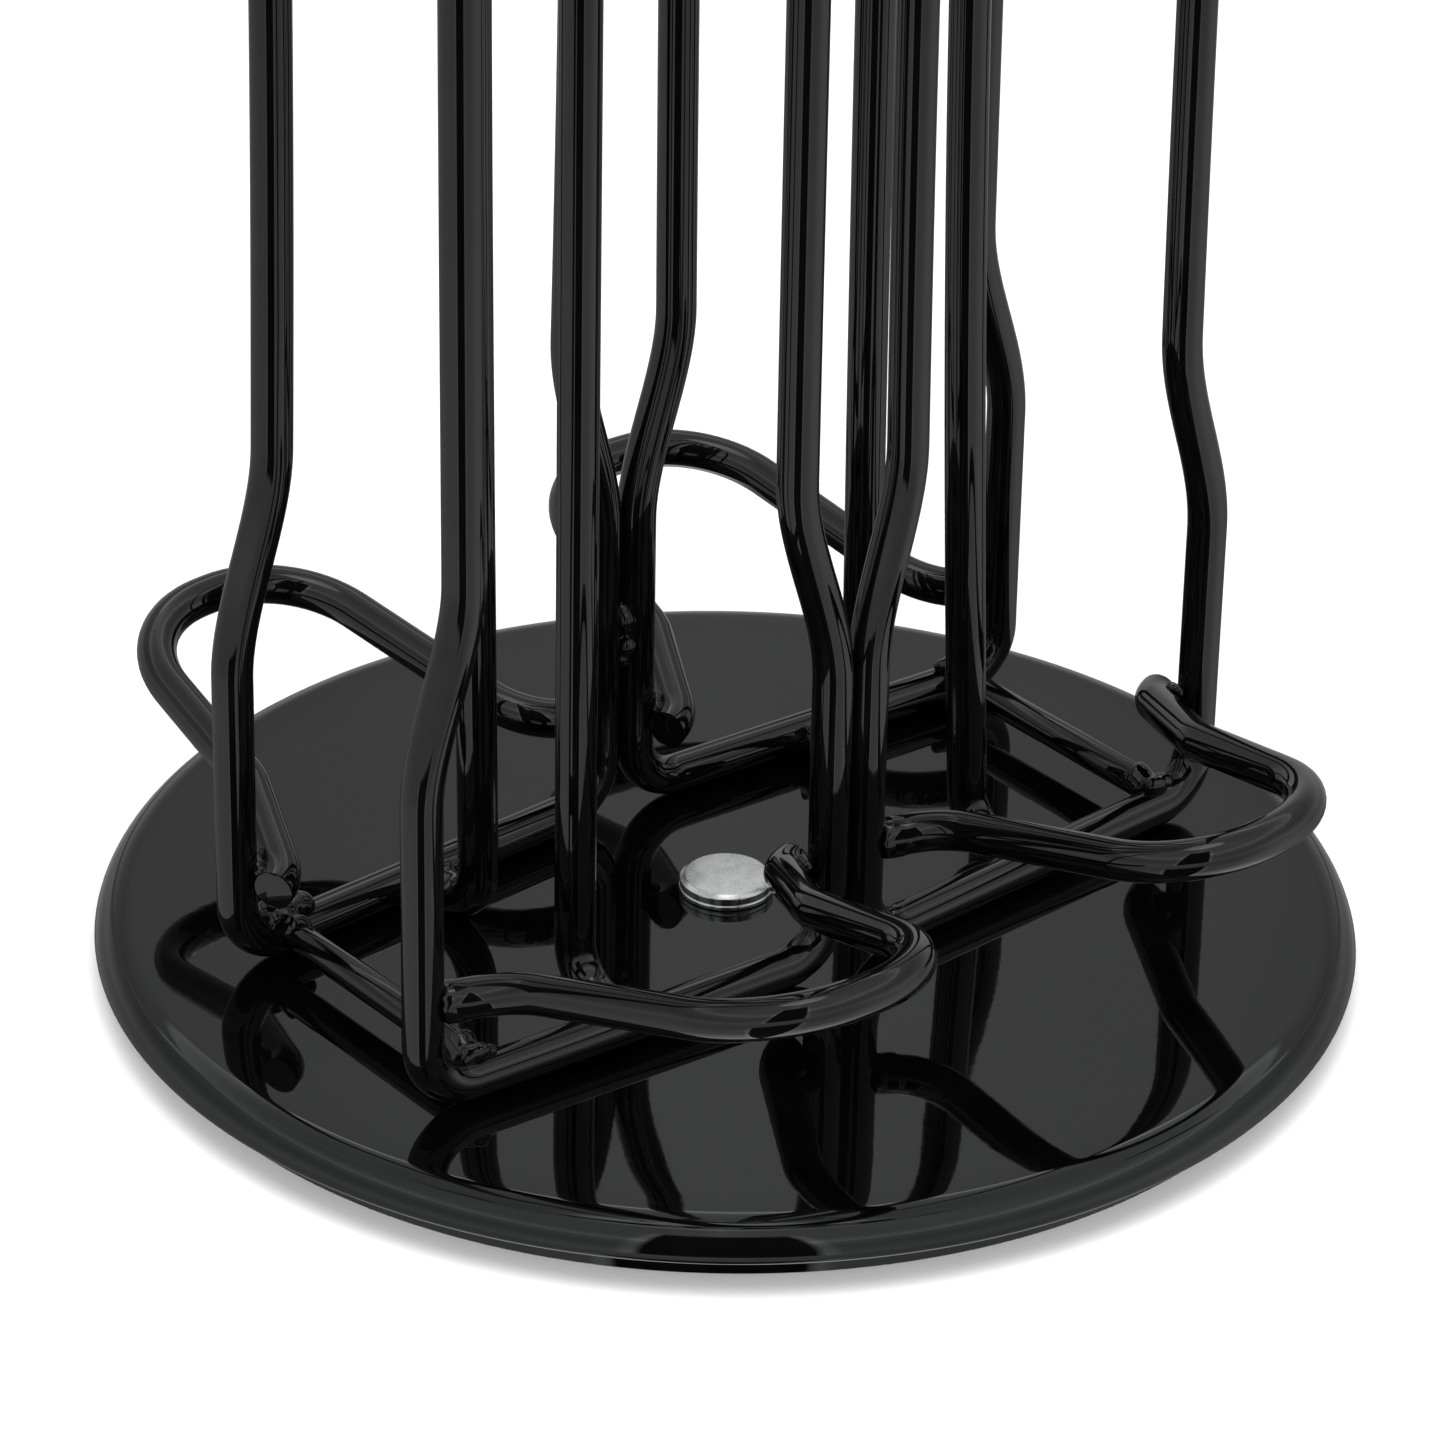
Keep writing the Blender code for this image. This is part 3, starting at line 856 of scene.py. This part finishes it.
def weld_crossing(shape, chance, first, second, size):
    """Beads in the grooves on both sides of where two wires cross."""
    middle = (first[0] + second[0]) / 2
    apart = (second[0] - first[0]).normalized()
    across = apart.cross(first[1]).normalized()
    for side in (-1, 1):
        groove = middle + across * side * GROOVE_OFFSET
        reach = first[1] * BEAD_REACH
        add_bead(shape, chance, groove - reach, groove + reach, size, GROOVE_LUMPS)


def make_lane_welds(wires):
    """Each lane's welds: its loop, the inner wire's foot and the cross wire on its bottom run."""
    for name, place in lane_places():
        chance = random.Random(name)
        frame, loop = wires["lane_frame_" + name], wires["exit_loop_" + name]
        hand = name.split("_")[1]
        inner, cross = wires["inner_frame_" + hand], wires["base_cross_wire_" + hand]
        shape = bmesh.new()

        start = (loop[0], (loop[0] - loop[1]).normalized())
        weld_end(shape, chance, start, nearest(loop[0], frame), WIRE_RADIUS, LUMP["loop_start"])
        on_loop, on_leg = meeting(loop[len(loop) // 2:], frame)
        weld_crossing(shape, chance, on_loop, on_leg, LUMP["loop_end"])

        foot, cross_end = [min((wire[0], wire[-1]), key=lambda p: (p - place.translation).length)
                           for wire in (inner, cross)]
        out = Vector((0, math.copysign(1, foot.y), 0))
        weld_end(shape, chance, (foot, out), nearest(foot, frame), WIRE_RADIUS, LUMP["inner_foot"])
        crown = foot + Vector((0, 0, 0.0026))
        reach = Vector((BEAD_REACH, 0, 0))
        add_bead(shape, chance, crown - reach, crown + reach, LUMP["inner_crown"], 3)

        weld_end(shape, chance, (cross_end, out), nearest(cross_end, frame), CROSS_RADIUS,
                 LUMP["cross_end"])
        half_length, size, count = HEAVY_BEAD if name == HEAVY_LANE else CROSS_BEAD
        crown = cross_end + out * 0.0030 + Vector((0, 0, 0.0012))
        reach = Vector((half_length, 0, 0))
        add_bead(shape, chance, crown - reach, crown + reach, size, count)
        fuse_weld("weld_beads_" + name, shape)


def make_pair_welds(wires):
    """Neighbouring lanes are tacked together between their touching inner legs."""
    for face in ("front", "back"):
        chance = random.Random(face)
        shape = bmesh.new()
        for height in TACK_HEIGHTS:
            legs = []
            for hand in ("left", "right"):
                path = [p for p, along in fine_path(wires[f"lane_frame_{face}_{hand}"], 0.001)
                        if abs(p.z - height) < 0.0006]
                legs.append(min(path, key=lambda p: abs(p.x)))
            middle = (legs[0] + legs[1]) / 2
            inward = Vector((0, 1 if face == "front" else -1, 0))
            reach = Vector((0, 0, 0.0010))
            groove = middle + inward * GROOVE_OFFSET
            add_bead(shape, chance, groove - reach, groove + reach, LUMP["tack"], 3)
        fuse_weld("tack_welds_" + face, shape)


def make_top_welds(wires):
    """Butt welds between arches and legs, and tacks where the tie wire passes under the arches."""
    shape = bmesh.new()
    for name, points in wires.items():
        if name.startswith("top_arch_"):
            for foot in (points[0], points[-1]):
                add_collar(shape, Vector((foot.x, foot.y, LEG_TOP)), Vector((0, 0, 1)),
                           WIRE_RADIUS, reach=0.0017, swell=0.00022)
    fuse_weld("arch_joint_welds", shape)
    shape = bmesh.new()
    chance = random.Random("tie")
    tie = wires["top_tie_wire"]
    for name, points in wires.items():
        if name.startswith(("top_arch_", "inner_frame_")):
            on_tie, on_wire = meeting(tie, points)
            weld_crossing(shape, chance, on_tie, on_wire, LUMP["tie"])
    fuse_weld("tie_wire_welds", shape)


# --- studio ----------------------------------------------------------------------------------

CAMERA_AZIMUTH = math.radians(-39.403)
CAMERA_ELEVATION = math.radians(28.483)
CAMERA_ROLL = math.radians(1.111)
CAMERA_PLACE = (-0.4759, -0.5778, 0.4418)
CAMERA_LENS = 154.86

# Light of the tent against direction: -1 is straight away from the viewer and 1 towards them
TABLE = ((-1.0, 0.13), (-0.87, 0.18), (-0.5, 0.42), (0.0, 0.68), (0.5, 0.90), (1.0, 0.98))
HORIZON = ((-1.0, 0.45), (-0.8, 0.38), (-0.5, 0.44), (0.0, 0.68), (1.0, 0.78))
WALL = ((-1.0, 0.57), (-0.5, 0.60), (0.0, 0.85), (1.0, 1.12))
LID = ((-0.2, 1.0), (0.5, 1.35))
BAR = ((-0.984, 1.0), (-0.970, 0.0))
# The same from the viewer's left, -1, to their right, 1
LOW_ACROSS = (
    (-0.35, 0.95), (-0.10, 0.98), (0.12, 0.93), (0.60, 0.87), (0.85, 0.95), (1.0, 1.30))
HIGH_ACROSS = (
    (-0.35, 0.70), (-0.10, 0.80), (0.0, 0.98), (0.12, 0.82), (0.60, 0.72), (1.0, 0.85))
# The same against height: -1 is straight down, 0 level and 1 straight up
SIDES_UP = ((0.1, 1.0), (0.44, 0.86), (0.55, 1.18))
LID_UP = ((0.61, 1.60), (0.66, 1.40), (0.75, 0.95), (0.975, 0.95), (0.982, 3.0))
BAR_UP = ((0.618, 0.0), (0.622, 1.0), (0.638, 1.0), (0.645, 0.0))
WHITE = (1, 1, 1, 1)
BAR_LIGHT = (3.0, 3.0, 3.0, 1)
FLOOR_LIGHT = (1.9, 1.9, 1.9, 1)
# Dark slots where the lens looks in: degrees to the viewer's right, half of the width in degrees
LOW_SLOT = (-1.5, 18.5)
HIGH_SLOT = (1.5, 14.5)
SLOT_LEVEL = 0.02
SLOT_EDGE_LEVEL = 1.7           # of the bright strips on both sides of a slot


def make_camera():
    """The viewpoint of the photo."""
    data = bpy.data.cameras.new("camera")
    data.lens = CAMERA_LENS
    data.sensor_width = 36
    data.clip_start = 0.02
    data.clip_end = 50
    camera = bpy.data.objects.new("camera", data)
    bpy.context.scene.collection.objects.link(camera)
    turn = (Matrix.Rotation(CAMERA_AZIMUTH, 4, "Z")
            @ Matrix.Rotation(math.pi / 2 - CAMERA_ELEVATION, 4, "X")
            @ Matrix.Rotation(CAMERA_ROLL, 4, "Z"))
    camera.matrix_world = Matrix.Translation(CAMERA_PLACE) @ turn
    bpy.context.scene.camera = camera


def math_node(nodes, links, operation, first, second=None):
    """The result of one operation on sockets or plain numbers."""
    node = nodes.new("ShaderNodeMath")
    node.operation = operation
    for socket, value in zip(node.inputs, (first, second)):
        if value is None:
            continue
        if isinstance(value, (int, float)):
            socket.default_value = value
        else:
            links.new(value, socket)
    return node.outputs["Value"]


def grey_ramp(nodes, links, source, stops):
    """Brightness along a value that runs from -1 to 1, from (value, brightness) stops."""
    shifted = math_node(nodes, links, "MULTIPLY_ADD", source, 0.5)
    shifted.node.inputs[2].default_value = 0.5
    stops = [((at + 1) / 2, (level, level, level)) for at, level in stops]
    return ramp_node(nodes, links, shifted, stops).outputs["Color"]


def mix_node(nodes, links, share, first, second, blend="MIX"):
    """Blends two colours; each input is a socket or a plain value."""
    mix = nodes.new("ShaderNodeMix")
    mix.data_type = "RGBA"
    mix.blend_type = blend
    for index, value in ((0, share), (6, first), (7, second)):
        if isinstance(value, bpy.types.NodeSocket):
            links.new(value, mix.inputs[index])
        else:
            mix.inputs[index].default_value = value
    return mix.outputs[2]


def make_world():
    """A pale light tent: brighter towards the viewer, with a dark slot where the lens looks in.

    Its light changes with height, from -1 straight down to 1 straight up, and with direction.
    """
    world = bpy.data.worlds.new("light_tent")
    bpy.context.scene.world = world
    world.use_nodes = True
    nodes, links = world.node_tree.nodes, world.node_tree.links
    background = nodes["Background"]
    place = nodes.new("ShaderNodeTexCoord")
    parts = nodes.new("ShaderNodeSeparateXYZ")
    links.new(place.outputs["Generated"], parts.inputs["Vector"])
    x, y, z = (parts.outputs[axis] for axis in "XYZ")
    flat = math_node(nodes, links, "SQRT", math_node(
        nodes, links, "ADD", math_node(nodes, links, "MULTIPLY", x, x),
        math_node(nodes, links, "MULTIPLY", y, y)))
    flat = math_node(nodes, links, "MAXIMUM", flat, 0.001)

    def towards(azimuth):
        """1 in the horizontal direction of a viewer at that azimuth, -1 away from them."""
        across = math_node(nodes, links, "MULTIPLY", x, math.sin(azimuth))
        along = math_node(nodes, links, "MULTIPLY", y, -math.cos(azimuth))
        both = math_node(nodes, links, "ADD", across, along)
        return math_node(nodes, links, "DIVIDE", both, flat)

    def by_height(low, high, below, above):
        """Changes from one light to another between two heights."""
        share = grey_ramp(nodes, links, z, [(low, 0.0), (high, 1.0)])
        return mix_node(nodes, links, share, below, above)

    def times(first, second):
        return mix_node(nodes, links, 1.0, first, second, "MULTIPLY")

    def slot(turn, half):
        """A slot that is dark between two bright strips."""
        edge, strip, strip_end, end = (
            math.cos(math.radians(half + further)) for further in (0, 0.8, 2.5, 4.5))
        return grey_ramp(nodes, links, towards(CAMERA_AZIMUTH + math.radians(turn)), [
            (end, 1.0), (strip_end, SLOT_EDGE_LEVEL), (strip, SLOT_EDGE_LEVEL),
            (edge, SLOT_LEVEL), (1.0, SLOT_LEVEL)])

    facing = towards(CAMERA_AZIMUTH)
    rightward = towards(CAMERA_AZIMUTH + math.pi / 2)
    table, horizon, wall = (
        grey_ramp(nodes, links, facing, stops) for stops in (TABLE, HORIZON, WALL))
    sides = by_height(-0.08, 0.10, by_height(-0.42, -0.36, table, horizon), wall)
    sides = times(sides, grey_ramp(nodes, links, z, SIDES_UP))
    lid = times(grey_ramp(nodes, links, z, LID_UP), grey_ramp(nodes, links, facing, LID))
    tent = by_height(0.60, 0.615, sides, lid)
    lower = grey_ramp(nodes, links, rightward, LOW_ACROSS)
    upper = grey_ramp(nodes, links, rightward, HIGH_ACROSS)
    tent = times(tent, by_height(0.10, 0.30, lower, upper))
    bar = times(grey_ramp(nodes, links, z, BAR_UP), grey_ramp(nodes, links, facing, BAR))
    tent = mix_node(nodes, links, bar, tent, BAR_LIGHT)
    tent = by_height(-0.95, -0.72, FLOOR_LIGHT, tent)
    gap = by_height(-0.28, -0.24, slot(*LOW_SLOT), WHITE)
    gap = times(gap, by_height(0.05, 0.09, WHITE, by_height(0.84, 0.88, slot(*HIGH_SLOT), WHITE)))
    links.new(times(tent, gap), background.inputs["Color"])
    background.inputs["Strength"].default_value = 1.0


def make_floor():
    """A matt floor that takes shadows; the tent, not the floor, is seen in the gloss."""
    shape = bmesh.new()
    bmesh.ops.create_grid(shape, x_segments=2, y_segments=2, size=4)
    mesh = bpy.data.meshes.new("floor")
    shape.to_mesh(mesh)
    shape.free()
    material, nodes, links, shader = new_material("pale_floor")
    tone = noise_node(nodes, links, 3)
    colour_by(nodes, links, shader, tone, (0.90, 0.90, 0.90), (0.92, 0.92, 0.92))
    shader.inputs["Roughness"].default_value = 1.0
    shader.inputs["Specular IOR Level"].default_value = 0.0
    mesh.materials.append(material)
    floor = bpy.data.objects.new("floor", mesh)
    floor.location = (0, 0, -0.0001)
    floor.visible_glossy = False
    bpy.context.scene.collection.objects.link(floor)


def add_lamp(name, place, width, depth, energy):
    """A soft panel of light aimed at the turntable; the tent alone makes the reflections."""
    data = bpy.data.lights.new(name, "AREA")
    data.shape = "ELLIPSE"
    data.size = width
    data.size_y = depth
    data.energy = energy
    lamp = bpy.data.objects.new(name, data)
    lamp.matrix_world = (Matrix.Translation(place)
                         @ Vector(place).to_track_quat("Z", "Y").to_matrix().to_4x4())
    lamp.visible_glossy = False
    bpy.context.scene.collection.objects.link(lamp)


def make_lights():
    add_lamp("overhead", (0, 0, 1.9), 2.2, 2.2, 25)
    add_lamp("low_front", (-1.11, -1.35, 0.45), 1.6, 0.4, 38)


def main():
    make_camera()
    make_world()
    make_floor()
    make_lights()
    make_plates()
    make_rivet()
    make_sleeve("shank_bush", "pivot_bush", "bearing_steel")
    make_sleeve("tail_washer", "rivet_tail_washer", "zinc_plate")
    make_feet()
    make_balls()
    make_cage()
    wires = rack_wires()
    make_wires(wires)
    make_lane_welds(wires)
    make_pair_welds(wires)
    make_top_welds(wires)
    bpy.context.scene.view_settings.view_transform = "Standard"


main()
